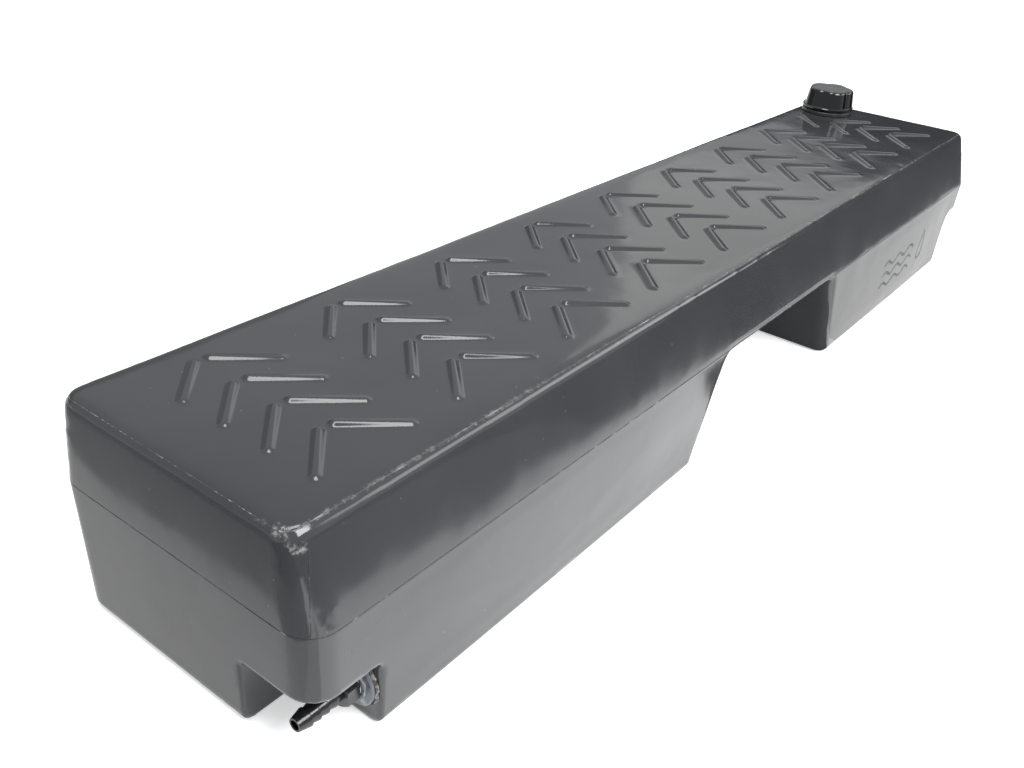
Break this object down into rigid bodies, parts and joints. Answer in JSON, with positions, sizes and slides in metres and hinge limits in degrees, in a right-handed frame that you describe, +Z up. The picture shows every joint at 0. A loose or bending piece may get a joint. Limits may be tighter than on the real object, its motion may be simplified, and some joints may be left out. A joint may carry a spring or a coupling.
{
  "type": "fresh water tank",
  "caption": "Long blow-moulded plastic water tank with a tunnel underneath, a ribbed tread on top, a screw filler cap and a barbed outlet tail in a corner notch.",
  "frame": {"origin": "on the surface the tank stands on, under the middle of the assembly's bounding box", "axes": "+X along the tank from the outlet end to the filler end, +Y towards the straight back side, +Z up"},
  "size_m": [1.344, 0.278, 0.236],
  "materials": {
    "tank_plastic": "semi-gloss moulded polyethylene, charcoal grey, scuffed paler along the mould's flash lines",
    "neck_plastic": "smooth moulded polyethylene, black",
    "cap_plastic": "glossy moulded polypropylene, black",
    "vent_plastic": "satin moulded polypropylene, black",
    "seal_rubber": "soft food-grade rubber, black",
    "boss_plastic": "smooth moulded polyethylene, pale blue-grey, a little smeared by the weld",
    "bead_plastic": "rough plastic squeezed out of the weld, torn and frosted",
    "sealing_tape": "thin white thread tape, frayed",
    "tail_plastic": "smooth glass-filled nylon, black"
  },
  "bodies": {
    "tank": {"tank_shell": "tank_plastic", "filler_neck": "neck_plastic", "outlet_boss": "boss_plastic", "outlet_weld_bead": "bead_plastic", "thread_tape": "sealing_tape", "hose_tail": "tail_plastic"},
    "seal": {"cap_seal": "seal_rubber"},
    "cap": {"filler_cap": "cap_plastic", "vent_valve": "seal_rubber", "vent_cover": "vent_plastic"}
  },
  "joints": [
    {"name": "cap_lift", "type": "slide", "parent": "tank", "child": "seal", "axis": [0, 0, 1], "range_m": [0, 0.0205]},
    {"name": "cap_turn", "type": "hinge", "parent": "seal", "child": "cap", "pos_m": [0.596, 0.074, 0.212], "axis": [0, 0, 1], "range_deg": [0, 1440]}
  ],
  "couplings": [
    {"joint": "cap_lift", "follows": "cap_turn", "m_per_rad": 0.00079577}
  ]
}
